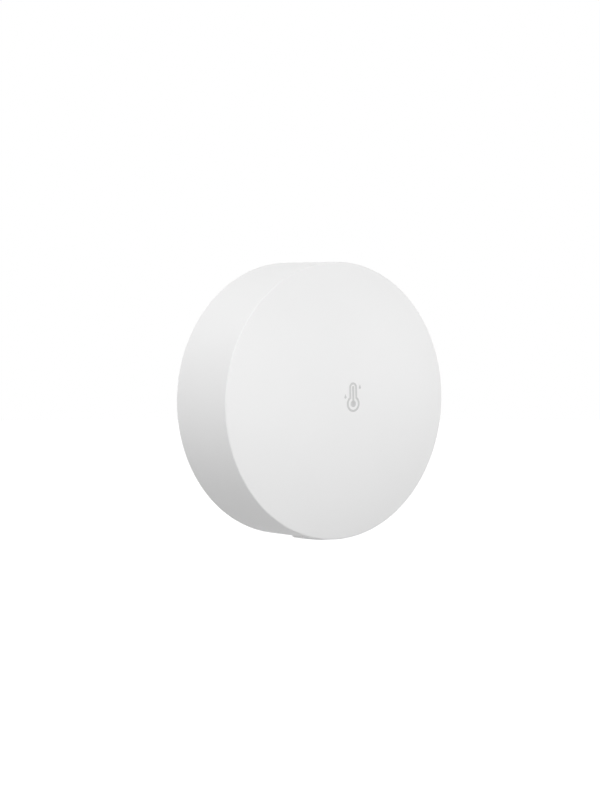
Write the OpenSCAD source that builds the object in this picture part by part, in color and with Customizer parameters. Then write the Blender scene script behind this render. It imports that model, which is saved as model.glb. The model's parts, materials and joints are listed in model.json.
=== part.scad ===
// Round indoor temperature and humidity sensor: a domed puck that snaps onto a cover stuck to the wall.
// It is drawn lying on its back, face up, and then hung upright with its face towards -Y.
// Heights in the drawing count from the wall, so the face is at the top of the stack.

/* [Case] */
// Diameter of the case
case_dia = 45; // [38:0.5:56]
// Thickness of the front shell's walls
shell_wall = 1.6; // [1.3:0.1:1.8]
// How far the domed face rises above its rim
dome_rise = 4; // [3:0.25:6]
// Radius of the rim between side wall and face
rim_fillet = 0.3; // [0.2:0.05:1]
// Thickness of the rear cover
cover_t = 1.5; // [1.3:0.1:2.5]
// Gap all round between rear cover and shell
cover_gap = 0.12; // [0.08:0.02:0.2]
// How far the snap beads stand out of the cover's edge
bead_proud = 0.27; // [0.22:0.01:0.32]

/* [Wall pad] */
// How far the adhesive pad stays inside the rear cover's edge
pad_margin = 2.8; // [1.5:0.1:8]
// Thickness of the adhesive pad
pad_t = 1; // [0.8:0.1:1.2]
// Depth of the pad's recess in the rear cover
pad_recess = 0.6; // [0.4:0.1:0.7]

/* [Cell] */
// Height of the coin cell
cell_h = 7.7; // [6.5:0.1:9]
// Gap all round the cell in its well
well_gap = 0.2; // [0.15:0.05:0.3]
// Gap between the cell and the closed rear cover
cover_room = 0.3; // [0.25:0.05:0.6]

/* [Battery holder] */
// Wall thickness of the well
well_wall = 1.2; // [1:0.1:1.4]
// Thickness of the well's floor
well_floor = 0.8; // [0.6:0.1:1.2]
// Room under the cell for the negative contact
contact_room = 0.4; // [0.35:0.05:0.6]
// Thickness of the contacts' spring strip
contact_t = 0.2; // [0.15:0.05:0.25]

/* [Circuit board] */
// Thickness of the circuit board
board_t = 0.8; // [0.6:0.1:1.2]
// Gap all round between board and shell
board_gap = 0.6; // [0.4:0.1:0.8]
// Room between the board and the height of the rim
parts_room = 1.8; // [1.6:0.1:3]
// Thread diameter of the board screws
screw_dia = 1.6; // [1.4:0.1:1.8]

/* [Button] */
// Diameter of the pairing button
button_dia = 7.1; // [5:0.1:7.4]
// How far the button stands out of the side wall
button_proud = 0.3; // [0.3:0.05:0.5]
// Gap all round the button in its hole
button_gap = 0.1; // [0.05:0.05:0.2]
// Length of the button's stem behind its flange
stem_len = 1.3; // [1:0.1:2]
// How far the button can be pressed
button_travel = 0.25; // [0.2:0.05:0.3]

/* [Switch] */
// Width and height of the switch body
switch_w = 6; // [5:0.1:6.2]
// Depth of the switch body behind its bracket
switch_depth = 3.5; // [3:0.1:3.5]
// Height of the switch's axis off the board
switch_axis = 3.65; // [3.6:0.05:4.2]

/* [Vents] */
// Number of vent slots in the side wall
vent_count = 5; // [3:1:6]
// Width of one vent slot
vent_w = 0.9; // [0.7:0.1:1.2]
// Length of one vent slot
vent_len = 4.5; // [3:0.5:6]

/* [Symbol] */
// Height of the printed thermometer
symbol_h = 4.75; // [3:0.25:12]
// Thickness of the printed ink
ink_t = 0.03; // [0.02:0.01:0.06]

/* [Hidden] */
$fn = 96;
// all cuts run this far past what they cut
over = 0.5;

// heights off the wall
pad_proud = pad_t - pad_recess;
back_z = pad_proud;
cover_top = back_z + cover_t;
cell_back = cover_top + cover_room;
cell_front = cell_back + cell_h;
floor_back = cell_front + contact_room;
board_back = floor_back + well_floor;
board_front = board_back + board_t;
rim_z = board_front + parts_room;
apex_z = rim_z + dome_rise;

// front shell
case_r = case_dia / 2;
room_r = case_r - shell_wall;
dome_r = (case_r * case_r + dome_rise * dome_rise) / (2 * dome_rise);
dome_c = apex_z - dome_r;
fillet_r = case_r - rim_fillet;
fillet_z = dome_c + sqrt(pow(dome_r - rim_fillet, 2) - pow(fillet_r, 2));
fillet_sweep = 90 - asin(fillet_r / (dome_r - rim_fillet));
groove_depth = bead_proud;
groove_z = back_z + cover_t / 2;
groove_h = 0.75;
stop_rib_angles = [10, 120, 215, 295];
stop_rib_w = 1.4;
stop_rib_proud = 0.9;
stop_rib_h = 6;
stop_rib_top = cover_top + stop_rib_h;
glow_skin = 0.7;
glow_r = 1.6;

// rear cover
cover_r = room_r - cover_gap;
bead_h = 0.5;
bead_arc = 24;
bead_angles = [45, 135, 225, 315];
press_ring_r = 9;
press_ring_w = 1;
press_ring_h = 0.2;
notch_w = 8;
notch_depth = 1;
notch_skin = 0.4;
notch_h = cover_t - notch_skin;
pad_r = cover_r - pad_margin;
pad_gap = 0.2;

// button and switch, from the side wall inwards
button_r = button_dia / 2;
flange_lip = 0.5;
flange_t = 0.8;
flange_gap = 0.05;
flange_in = room_r - flange_gap - flange_t;
flat_gap = 0.4;
board_flat = flange_in - button_travel - flat_gap;
stem_r = 1.5;
button_z = board_back - switch_axis;
plunger_r = 1.7;
plunger_out = 0.95;
plunger_tip = flange_in - stem_len;
bracket_t = 0.3;
bracket_leg_w = 1.2;
switch_front = plunger_tip - plunger_out - bracket_t;
switch_back = switch_front - switch_depth;
switch_gap = 0.35;
collar_r = 2;
collar_t = 0.9;
collar_gap = 0.1;
chamber_r = collar_r + collar_gap;
snap_dome_r = 1.9;
snap_dome_rise = 0.5;
snap_dome_t = 0.1;
touch_gap = 0.05;
chamber_depth = collar_gap + collar_t + touch_gap + snap_dome_rise;
lead_w = 0.6;
lead_t = 0.3;
lead_inset = 0.8;
lead_place = switch_w / 2 - lead_inset;

// the well stands behind the switch, and the cell fills the well
holder_r = switch_back - switch_gap;
well_r = holder_r - well_wall;
cell_r = well_r - well_gap;

// coin cell
can_wall = 0.3;
crimp_share = 0.93;
cap_share = 0.89;
gasket_lip = 0.2;
cap_rise = 0.4;
pellet_share = 0.62;
core_gap = 0.05;

// battery holder
bare_share = 0.17;
holder_back = cell_back + cell_h * bare_share;
finger_w = 11;
finger_share = 0.75;
finger_floor = cell_back + cell_h * finger_share;
stake_r = 0.7;
stake_head_r = 1.1;
stake_head_h = 0.4;
stake_inset = 1;
stake_place = cell_r - stake_inset;
fit_gap = 0.05;

// contacts
strip_w = 4;
pin_w = 1.2;
pin_gap = 0.1;
pin_out = 0.6;
pin_end = board_front + pin_out;
negative_reach_share = 0.57;
negative_reach = cell_r * negative_reach_share;
dimple_r = 1.5;
dimple_gap = 0.05;
side_gap = 0.1;
hairpin_gap = 0.6;
hairpin_end_share = 0.85;
hairpin_sink = 0.3;
hairpin_end = cell_back + cell_h * hairpin_end_share;
hairpin_back = holder_back + hairpin_sink;
hairpin_inner = cell_r + side_gap;
hairpin_outer = hairpin_inner + contact_t + hairpin_gap;

// board
board_r = room_r - board_gap;
screw_r = screw_dia / 2;
screw_head_r = 1.5;
screw_head_h = 0.8;
screw_bite = 2.1;
screw_fit = 0.02;
recess_share = [0.6, 0.15, 0.5];
screw_angles = [35, 145, 245];
screw_inset = 3.3;
screw_place = board_r - screw_inset;
boss_wall = 1.05;
tongue_angles = [-52, -18];
tongue_cut = 0.9;
tongue_len = 5.2;
tongue_neck = 1.5;
tongue_inner = board_r - tongue_len;
tongue_outer = board_r - tongue_neck;

// vents beside the sensor
vent_middle = -35;
vent_step = 5.5;
vent_z = cover_top + (board_back - cover_top) / 2;

// places of the parts on the board's front, as shares of the board's radius
radio_place_share = [0, 0.1];
memory_place_share = [-0.42, -0.3];
crystal_place_share = [0.32, 0.26];
inductor_place_share = [-0.26, 0.34];
led_place_share = [0, -0.6];
resistor_place_share = [
    [0.2, -0.12], [0.28, -0.12], [0.36, -0.12], [-0.22, -0.06], [0.1, -0.48], [-0.5, 0.12]
];
capacitor_place_share = [
    [0.24, 0.1], [0.3, -0.2], [0.4, 0.12], [-0.12, 0.34], [-0.26, 0.18], [0.1, 0.34], [-0.6, -0.12]
];

// sizes of the parts on the board, in the order across, along and high
radio_size = [6, 6, 0.9];
memory_size = [4, 4.9, 1.4];
memory_lead_size = [0.9, 0.4, 0.2];
memory_lead_pitch = 1.27;
memory_lead_rows = 4;
crystal_size = [3.2, 2.5, 0.5];
crystal_lid_size = [2.8, 2.1, 0.25];
inductor_size = [2.5, 2, 1.2];
resistor_size = [1, 0.5, 0.35];
capacitor_size = [1, 0.5, 0.5];
led_size = [1.6, 0.8, 0.6];
led_lens_r = 0.35;
sensor_size = [2.5, 2.5, 0.9];
sensor_eye_r = 0.6;
buffer_size = [2.8, 3.5, 1.9];
buffer_angle = 75;
pad_count = 5;
pad_angle = 180;
pad_angle_step = 8;
test_pad_r = 0.6;
copper_t = 0.05;
trace_w = 0.5;
trace_runs = 7;
trace_pitch = 1.3;
trace_len = 3;
trace_inset = 6;
trace_place = board_r - trace_inset;

// printed symbol, as shares of its height
symbol_up = 0.75;
stroke_share = 0.074;
bulb_share = 0.553;
stem_share = 0.335;
bar_share = 0.08;
bar_end_share = 0.12;
blob_share = 0.225;
drop_share = [0.088, 0.152];
right_drop_share = [0.297, 0.35];
left_drop_share = [-0.338, 0.036];

// height of a sphere below the face, this deep under it and this far from the axis
function dome_z(depth, r) = dome_c + sqrt(pow(dome_r - depth, 2) - pow(r, 2));

// from the drawing, which lies on its back, to the hung object
module hung() {
    rotate([90, 0, 0]) children();
}

// turns what is drawn along +X to an angle round the axis, and moves it out to a radius
module around(angle, r) {
    rotate([0, 0, angle]) translate([r, 0, 0]) children();
}

// round plate between two heights
module disc(r, low, high) {
    translate([0, 0, low]) cylinder(r = r, h = high - low);
}

// ring between two radii and two heights
module ring(inner, outer, low, high) {
    difference() {
        disc(outer, low, high);
        disc(inner, low - over, high + over);
    }
}

// block between two corners
module block(low, high) {
    translate(low) cube(high - low);
}

// block that stands on the middle of its foot
module chip(size, z) {
    translate([-size[0] / 2, -size[1] / 2, z]) cube(size);
}

// round bar that runs down the page, towards -Y, between two distances from the axis
module down(r, from, to, z) {
    translate([0, -from, z]) rotate([90, 0, 0]) cylinder(r = r, h = to - from);
}

// moves what is drawn at the axis to a place on the board's front
module on_front(place_share) {
    translate([board_r * place_share[0], board_r * place_share[1], 0]) children();
}

module shell_outline() {
    // direction in which the rim's arc leaves the dome
    tip = [fillet_r, fillet_z] + 2 * rim_fillet * [cos(fillet_sweep), sin(fillet_sweep)];
    clear_z = apex_z + dome_rise;
    translate([0, back_z]) square([case_r, fillet_z - back_z]);
    translate([fillet_r, fillet_z]) circle(r = rim_fillet);
    intersection() {
        translate([0, dome_c]) circle(r = dome_r);
        polygon([[0, fillet_z], [fillet_r, fillet_z], tip, [case_r, clear_z], [0, clear_z]]);
    }
}

module room_outline() {
    intersection() {
        translate([0, dome_c]) circle(r = dome_r - shell_wall);
        translate([0, back_z - over]) square([room_r, apex_z]);
    }
    translate([0, groove_z - groove_h / 2]) square([room_r + groove_depth, groove_h]);
}

// one vent slot with round ends, through the side wall
module vent_slot() {
    length = shell_wall + 2 * over;
    straight = vent_len - vent_w;
    translate([room_r - over, 0, vent_z]) {
        translate([0, -vent_w / 2, -straight / 2]) cube([length, vent_w, straight]);
        for (end = [-1, 1])
            translate([0, 0, end * straight / 2]) rotate([0, 90, 0]) cylinder(r = vent_w / 2, h = length);
    }
}

// bosses under the dome that take the board screws
module bosses() {
    for (angle = screw_angles) around(angle, screw_place)
        disc(screw_r + screw_fit + boss_wall, board_front, dome_z(shell_wall / 2, screw_place));
}

// ribs inside the side wall that stop the rear cover
module stop_ribs() {
    for (angle = stop_rib_angles) rotate([0, 0, angle])
        block([room_r - stop_rib_proud, -stop_rib_w / 2, cover_top],
            [room_r + shell_wall / 2, stop_rib_w / 2, stop_rib_top]);
}

module front_shell() {
    color([0.95, 0.95, 0.95]) hung() difference() {
        union() {
            rotate_extrude() difference() {
                shell_outline();
                room_outline();
            }
            bosses();
            stop_ribs();
        }
        for (angle = screw_angles) around(angle, screw_place)
            disc(screw_r + screw_fit, board_front - over, board_front + screw_bite + fit_gap);
        for (i = [0 : vent_count - 1])
            rotate([0, 0, vent_middle + vent_step * (i - (vent_count - 1) / 2)]) vent_slot();
        down(button_r + button_gap, room_r - over, case_r + over, button_z);
        // thin spot that lets the status light glow through the face
        on_front(led_place_share)
            disc(glow_r, board_front, dome_z(glow_skin, board_r * norm(led_place_share) + glow_r));
    }
}

module drop_shape() {
    r = symbol_h * drop_share[0] / 2;
    length = symbol_h * drop_share[1];
    translate([0, r - length / 2]) circle(r = r);
    polygon([[-r, r - length / 2], [r, r - length / 2], [0, length / 2]]);
}

// bulb and stem of the thermometer, drawn smaller by an inset
module thermometer_shape(inset) {
    bulb_r = symbol_h * bulb_share / 2;
    stem_r = symbol_h * stem_share / 2;
    bulb_y = bulb_r - symbol_h / 2;
    stem_y = symbol_h / 2 - stem_r;
    translate([0, bulb_y]) circle(r = bulb_r - inset);
    translate([0, stem_y]) circle(r = stem_r - inset);
    translate([inset - stem_r, bulb_y]) square([2 * (stem_r - inset), stem_y - bulb_y]);
}

module symbol_shape() {
    bar_r = symbol_h * bar_share / 2;
    bulb_y = symbol_h * (bulb_share - 1) / 2;
    bar_y = symbol_h * (0.5 - bar_end_share) - bar_r;
    difference() {
        thermometer_shape(0);
        thermometer_shape(symbol_h * stroke_share);
    }
    translate([0, bulb_y]) circle(r = symbol_h * blob_share / 2);
    translate([-bar_r, bulb_y]) square([2 * bar_r, bar_y - bulb_y]);
    translate([0, bar_y]) circle(r = bar_r);
    translate(symbol_h * right_drop_share) drop_shape();
    translate(symbol_h * left_drop_share) drop_shape();
}

// half section of the dome above the rim, raised by the ink's thickness or not
module dome_outline(rise) {
    intersection() {
        translate([0, dome_c]) circle(r = dome_r + rise);
        translate([0, rim_z]) square([case_r, 2 * dome_rise]);
    }
}

module face_symbol() {
    color([0.8, 0.8, 0.8]) hung() intersection() {
        translate([0, symbol_up, rim_z]) linear_extrude(2 * dome_rise) symbol_shape();
        rotate_extrude() difference() {
            dome_outline(ink_t);
            dome_outline(0);
        }
    }
}

module pairing_button() {
    color([0.92, 0.92, 0.92]) hung() {
        intersection() {
            down(button_r, flange_in, case_r + 2 * button_proud, button_z);
            disc(case_r + button_proud, 0, rim_z);
        }
        intersection() {
            down(button_r + flange_lip, flange_in - over, room_r, button_z);
            ring(flange_in, room_r - flange_gap, 0, rim_z);
        }
        down(stem_r, plunger_tip + touch_gap, flange_in + flange_t, button_z);
    }
}

module rear_cover() {
    color([0.93, 0.93, 0.93]) hung() {
        difference() {
            disc(cover_r, back_z, cover_top);
            disc(pad_r + pad_gap, back_z - over, back_z + pad_recess);
            // pry notch at the bottom
            block([-notch_w / 2, -cover_r - over, back_z - over],
                [notch_w / 2, notch_depth - cover_r, back_z + notch_h]);
        }
        for (angle = bead_angles) rotate([0, 0, angle - bead_arc / 2]) rotate_extrude(angle = bead_arc)
            translate([cover_r - over, groove_z - bead_h / 2]) square([over + bead_proud, bead_h]);
        ring(press_ring_r, press_ring_r + press_ring_w, cover_top, cover_top + press_ring_h);
    }
}

module mounting_pad() {
    color([0.85, 0.85, 0.83]) hung() disc(pad_r, 0, pad_t);
}

// slot for a contact's pin, wider than the pin all round
module pin_slot(size) {
    translate([-size[0] / 2 - pin_gap, -size[1] / 2 - pin_gap, floor_back - over])
        cube([size[0] + 2 * pin_gap, size[1] + 2 * pin_gap, pin_end - floor_back + 2 * over]);
}

// places of the pins that go through holder and board
module at_negative_pins() {
    for (side = [-1, 1]) translate([side * negative_reach, 0, 0]) children();
}

module at_positive_pins() {
    for (side = [-1, 1])
        translate([side * (strip_w - pin_w) / 2, hairpin_outer + contact_t / 2, 0]) children();
}

module at_stakes() {
    for (side = [-1, 1]) translate([side * stake_place, 0, 0]) children();
}

module battery_holder() {
    slot_w = strip_w + 2 * pin_gap;
    color([0.25, 0.25, 0.27]) hung() {
        difference() {
            disc(holder_r, holder_back, board_back);
            disc(well_r, holder_back - over, floor_back);
            // room for a finger that lifts the cell
            block([-holder_r - over, -finger_w / 2, holder_back - over], [0, finger_w / 2, finger_floor]);
            // slot that holds the positive contact
            block([-slot_w / 2, cell_r, holder_back - over],
                [slot_w / 2, holder_r + over, hairpin_end + side_gap]);
            block([-slot_w / 2, hairpin_outer - pin_gap, holder_back - over],
                [slot_w / 2, holder_r + over, board_back + over]);
            at_negative_pins() pin_slot([contact_t, pin_w]);
        }
        at_stakes() {
            disc(stake_r, board_back - well_floor / 2, board_front);
            disc(stake_head_r, board_front, board_front + stake_head_h);
        }
    }
}

module positive_contact() {
    outside = hairpin_outer + contact_t;
    color([0.8, 0.78, 0.72]) hung() {
        block([-strip_w / 2, hairpin_outer, hairpin_back], [strip_w / 2, outside, board_back]);
        block([-strip_w / 2, hairpin_inner, hairpin_back], [strip_w / 2, outside, hairpin_back + contact_t]);
        block([-strip_w / 2, hairpin_inner, hairpin_back],
            [strip_w / 2, hairpin_inner + contact_t, hairpin_end]);
        at_positive_pins() chip([pin_w, contact_t, pin_end - board_back + contact_t], board_back - contact_t);
    }
}

module negative_contact() {
    top = floor_back - contact_t;
    reach = negative_reach + contact_t / 2;
    color([0.8, 0.78, 0.72]) hung() {
        block([-reach, -strip_w / 2, top], [reach, strip_w / 2, floor_back]);
        translate([0, 0, cell_front + dimple_gap])
            cylinder(r1 = dimple_r / 2, r2 = dimple_r, h = top - cell_front - dimple_gap + contact_t / 2);
        at_negative_pins() chip([contact_t, pin_w, pin_end - top], top);
    }
}

// the cell lies with its can towards the rear cover and its cap towards the board
module cell_can() {
    lip_z = cell_front - cap_rise;
    color([0.78, 0.78, 0.8]) hung() rotate_extrude() difference() {
        translate([0, cell_back]) square([cell_r, lip_z - cell_back]);
        translate([0, cell_back + can_wall]) square([cell_r - can_wall, lip_z - cell_back - 2 * can_wall]);
        translate([0, cell_back + can_wall]) square([cell_r * crimp_share, lip_z - cell_back]);
    }
}

module cell_gasket() {
    lip_z = cell_front - cap_rise;
    color([0.2, 0.2, 0.22]) hung() {
        ring(cell_r * cap_share, cell_r - can_wall, cell_back + 2 * can_wall, lip_z - can_wall);
        ring(cell_r * cap_share, cell_r * crimp_share, lip_z - 2 * can_wall, lip_z + gasket_lip);
    }
}

module cell_cap() {
    color([0.75, 0.75, 0.77]) hung() difference() {
        disc(cell_r * cap_share, cell_back + 3 * can_wall, cell_front);
        disc(cell_r * cap_share - can_wall, cell_back + 2 * can_wall, cell_front - can_wall);
    }
}

module cathode_pellet() {
    low = cell_back + can_wall;
    color([0.1, 0.1, 0.1]) hung()
        disc(cell_r * cap_share - can_wall - core_gap, low, low + (cell_h - 2 * can_wall) * pellet_share);
}

module anode_disc() {
    low = cell_back + can_wall + (cell_h - 2 * can_wall) * pellet_share + core_gap;
    color([0.65, 0.67, 0.7]) hung()
        disc(cell_r * cap_share - can_wall - core_gap, low, cell_front - can_wall);
}

// slots that leave the sensor on a tongue of board
module tongue_slots() {
    low = board_back - over;
    high = board_front + over;
    rotate([0, 0, tongue_angles[0]]) rotate_extrude(angle = tongue_angles[1] - tongue_angles[0])
        translate([tongue_inner, low]) square([tongue_cut, high - low]);
    for (angle = tongue_angles) rotate([0, 0, angle])
        block([tongue_inner, -tongue_cut / 2, low], [tongue_outer, tongue_cut / 2, high]);
}

module circuit_board() {
    color([0.1, 0.35, 0.2]) hung() difference() {
        disc(board_r, board_back, board_front);
        block([-board_r, -board_r - over, board_back - over], [board_r, -board_flat, board_front + over]);
        for (angle = screw_angles) around(angle, screw_place)
            disc(screw_r + pin_gap, board_back - over, board_front + over);
        at_stakes() disc(stake_r + fit_gap, board_back - over, board_front + over);
        at_negative_pins() pin_slot([contact_t, pin_w]);
        at_positive_pins() pin_slot([pin_w, contact_t]);
        at_bracket_legs() pin_slot([bracket_t, bracket_leg_w]);
        at_switch_leads() pin_slot([lead_w, lead_t]);
        tongue_slots();
    }
}

module board_screws() {
    head_end = board_back - screw_head_h;
    color([0.6, 0.6, 0.62]) hung() for (angle = screw_angles) around(angle, screw_place) {
        disc(screw_r, board_back, board_front + screw_bite);
        difference() {
            disc(screw_head_r, head_end, board_back);
            // cross recess
            for (turn = [0, 90]) rotate([0, 0, turn])
                block([-screw_head_r * recess_share[0], -screw_head_r * recess_share[1], head_end - over],
                    [screw_head_r * recess_share[0], screw_head_r * recess_share[1],
                        head_end + screw_head_h * recess_share[2]]);
        }
    }
}

module at_bracket_legs() {
    for (side = [-1, 1])
        translate([side * (switch_w + bracket_t) / 2, bracket_leg_w / 2 - switch_front, 0]) children();
}

module at_switch_leads() {
    for (side = [-1, 1]) translate([side * lead_place, lead_t - switch_back, 0]) children();
}

module switch_body() {
    half = switch_w / 2;
    color([0.12, 0.12, 0.12]) hung() difference() {
        block([-half, -switch_front, button_z - half], [half, -switch_back, button_z + half]);
        down(chamber_r, switch_front - chamber_depth, switch_front + over, button_z);
    }
}

module switch_bracket() {
    half = switch_w / 2;
    color([0.75, 0.75, 0.77]) hung() {
        difference() {
            block([-half - bracket_t, -switch_front - bracket_t, button_z - half],
                [half + bracket_t, -switch_front, button_z + half]);
            down(plunger_r + collar_gap, switch_front - over, switch_front + bracket_t + over, button_z);
        }
        at_bracket_legs() chip([bracket_t, bracket_leg_w, pin_end - button_z + half], button_z - half);
    }
}

module switch_leads() {
    color([0.8, 0.8, 0.82]) hung()
        at_switch_leads() chip([lead_w, lead_t, pin_end - button_z - switch_w / 2], button_z + switch_w / 2);
}

// shallow spring dome that the plunger rests on, at the bottom of the switch's chamber
module switch_dome() {
    seat = switch_front - chamber_depth;
    curve_r = (snap_dome_r * snap_dome_r + snap_dome_rise * snap_dome_rise) / (2 * snap_dome_rise);
    color([0.8, 0.75, 0.6]) hung() intersection() {
        down(snap_dome_r, seat, seat + 2 * snap_dome_rise, button_z);
        difference() {
            translate([0, curve_r - seat - snap_dome_rise, button_z]) sphere(r = curve_r);
            translate([0, curve_r - seat - snap_dome_rise, button_z]) sphere(r = curve_r - snap_dome_t);
        }
    }
}

module switch_plunger() {
    collar_front = switch_front - collar_gap;
    color([0.15, 0.15, 0.15]) hung() {
        down(plunger_r, collar_front - collar_t / 2, plunger_tip, button_z);
        down(collar_r, collar_front - collar_t, collar_front, button_z);
    }
}

module at_sensor() {
    around(vent_middle, (tongue_inner + tongue_cut + board_r) / 2) children();
}

module humidity_sensor() {
    color([0.15, 0.15, 0.15]) hung() at_sensor() difference() {
        chip(sensor_size, board_back - sensor_size[2]);
        disc(sensor_eye_r, board_back - sensor_size[2] - over, board_back - sensor_size[2] / 2);
    }
}

module radio_chip() {
    color([0.12, 0.12, 0.12]) hung() on_front(radio_place_share) chip(radio_size, board_front);
}

module memory_chip() {
    lift = memory_lead_size[2] / 2;
    color([0.14, 0.14, 0.14]) hung() on_front(memory_place_share)
        chip([memory_size[0], memory_size[1], memory_size[2] - lift], board_front + lift);
}

module memory_leads() {
    reach = (memory_size[0] + memory_lead_size[0]) / 2;
    color([0.8, 0.8, 0.82]) hung() on_front(memory_place_share)
        for (side = [-1, 1], i = [0 : memory_lead_rows - 1])
            translate([side * reach, (i - (memory_lead_rows - 1) / 2) * memory_lead_pitch, 0])
                chip(memory_lead_size, board_front);
}

module crystal_base() {
    color([0.85, 0.8, 0.7]) hung() on_front(crystal_place_share) chip(crystal_size, board_front);
}

module crystal_lid() {
    color([0.8, 0.8, 0.82]) hung() on_front(crystal_place_share)
        chip(crystal_lid_size, board_front + crystal_size[2]);
}

module antenna_trace() {
    color([0.85, 0.6, 0.35]) hung() translate([0, trace_place, board_front]) linear_extrude(copper_t) {
        for (i = [0 : trace_runs - 1]) translate([trace_pitch * (i - (trace_runs - 1) / 2), 0]) {
            square([trace_w, trace_len]);
            if (i < trace_runs - 1)
                translate([0, i % 2 == 0 ? trace_len - trace_w : 0]) square([trace_pitch + trace_w, trace_w]);
        }
    }
}

module inductor() {
    color([0.3, 0.3, 0.3]) hung() on_front(inductor_place_share) chip(inductor_size, board_front);
}

module buffer_capacitor() {
    color([0.8, 0.6, 0.2]) hung() around(buffer_angle, (holder_r + board_r) / 2)
        chip(buffer_size, board_back - buffer_size[2]);
}

module chip_resistors() {
    color([0.1, 0.1, 0.1]) hung() for (place = resistor_place_share) on_front(place)
        chip(resistor_size, board_front);
}

module chip_capacitors() {
    color([0.7, 0.58, 0.42]) hung() for (place = capacitor_place_share) on_front(place)
        chip(capacitor_size, board_front);
}

module status_led() {
    color([0.9, 0.9, 0.8]) hung() on_front(led_place_share) {
        chip(led_size, board_front);
        disc(led_lens_r, board_front + led_size[2], board_front + led_size[2] + led_lens_r / 2);
    }
}

module test_pads() {
    color([0.85, 0.7, 0.35]) hung() for (i = [0 : pad_count - 1])
        around(pad_angle + pad_angle_step * (i - (pad_count - 1) / 2), (holder_r + board_r) / 2)
            disc(test_pad_r, board_back - copper_t, board_back);
}

rear_cover();
mounting_pad();
front_shell();
face_symbol();
pairing_button();
battery_holder();
positive_contact();
negative_contact();
cell_can();
cell_gasket();
cell_cap();
cathode_pellet();
anode_disc();
circuit_board();
board_screws();
switch_body();
switch_bracket();
switch_leads();
switch_dome();
switch_plunger();
humidity_sensor();
radio_chip();
memory_chip();
memory_leads();
crystal_base();
crystal_lid();
antenna_trace();
inductor();
buffer_capacitor();
chip_resistors();
chip_capacitors();
status_led();
test_pads();
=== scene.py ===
# Round indoor temperature and humidity sensor, hung on a wall: the finishes and the finer pieces
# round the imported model. X runs to the right, Z up, and the face looks along -Y.
import math

import bmesh
import bpy
from mathutils import Matrix, Vector
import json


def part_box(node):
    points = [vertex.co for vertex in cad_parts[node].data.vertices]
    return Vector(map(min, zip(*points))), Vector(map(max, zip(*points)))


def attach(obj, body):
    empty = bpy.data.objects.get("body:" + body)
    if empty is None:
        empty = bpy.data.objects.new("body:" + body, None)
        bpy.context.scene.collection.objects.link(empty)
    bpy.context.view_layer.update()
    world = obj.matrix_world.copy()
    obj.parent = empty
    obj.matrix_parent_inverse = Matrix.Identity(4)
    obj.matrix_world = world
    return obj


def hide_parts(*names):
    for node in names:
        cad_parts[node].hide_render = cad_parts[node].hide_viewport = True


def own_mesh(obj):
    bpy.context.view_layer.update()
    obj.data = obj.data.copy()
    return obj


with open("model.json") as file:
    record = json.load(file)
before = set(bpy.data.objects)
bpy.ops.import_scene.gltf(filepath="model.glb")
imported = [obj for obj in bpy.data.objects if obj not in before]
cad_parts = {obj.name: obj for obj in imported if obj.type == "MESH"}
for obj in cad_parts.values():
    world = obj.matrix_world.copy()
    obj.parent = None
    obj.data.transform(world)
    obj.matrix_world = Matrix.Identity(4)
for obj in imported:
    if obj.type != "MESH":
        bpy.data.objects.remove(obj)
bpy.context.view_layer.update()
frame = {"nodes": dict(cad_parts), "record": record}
nodes = frame["nodes"]
scene = bpy.context.scene
mm = 0.001
turn = 2 * math.pi
smallGap = 0.0001 * mm  # points nearer than this are one
packedGap = 0.001 * mm  # the same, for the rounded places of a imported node
near = 0.01 * mm  # a point this near a surface counts as on it
sharpAngle = 35  # edges that turn by more degrees than this are sharp

# the camera stands at the viewing angle of the photograph, fitted to the rim and the back edge
view = {
    "placeMm": (-237.28, -306.35, 16.80),
    "look": (0.61657, 0.78606, -0.04414),
    "lensMm": 104.8,
    "clip": (0.01, 20),
}
camera = bpy.data.objects.new("camera", bpy.data.cameras.new("camera"))
camera.location = Vector(view["placeMm"]) * mm
camera.rotation_mode = "QUATERNION"
camera.rotation_quaternion = Vector(view["look"]).to_track_quat("-Z", "Y")
camera.data.lens = view["lensMm"]
camera.data.clip_start, camera.data.clip_end = view["clip"]
scene.collection.objects.link(camera)
scene.camera = camera
scene.view_settings.view_transform = "Standard"
print("camera is set")


# colours are written as sRGB hex values and turned to linear here
def linear(hexValue):
    parts = [int(hexValue[i:i + 2], 16) / 255 for i in (1, 3, 5)]
    return [c / 12.92 if c <= 0.04045 else ((c + 0.055) / 1.055) ** 2.4 for c in parts] + [1]


# adds a node with its settings and links: _0 is a socket by number, Base_Color one by name
def addNode(tree, kind, settings=None, **links):
    node = tree.nodes.new("ShaderNode" + kind)
    for key, value in (settings or {}).items():
        if isinstance(key, int) or key in node.inputs:
            node.inputs[key].default_value = value
        else:
            setattr(node, key, value)
    for key, source in links.items():
        socket = node.inputs[int(key[1:])] if key[0] == "_" else node.inputs[key.replace("_", " ")]
        tree.links.new(source, socket)
    return node


# a pattern whose grains are this many millimetres apart
def perMm(size):
    return 1 / (size * mm)


def newMaterial(name, base, rough, metal=0.0, ior=1.5, **sockets):
    material = bpy.data.materials.new(name)
    material.use_nodes = True
    shader = material.node_tree.nodes["Principled BSDF"]
    values = {"Base Color": linear(base), "Roughness": rough, "Metallic": metal, "IOR": ior}
    for key, value in {**values, **{k.replace("_", " "): v for k, v in sockets.items()}}.items():
        shader.inputs[key].default_value = value
    return material, material.node_tree, shader


# noise of one grain size, read in object coordinates and stretched along an axis where asked
def grain(tree, size, detail, stretch=(1, 1, 1)):
    place = addNode(tree, "TexCoord")
    mapped = addNode(tree, "Mapping", {"Scale": stretch}, Vector=place.outputs["Object"])
    return addNode(tree, "TexNoise", {"Scale": perMm(size), "Detail": detail}, Vector=mapped.outputs[0])


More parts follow.
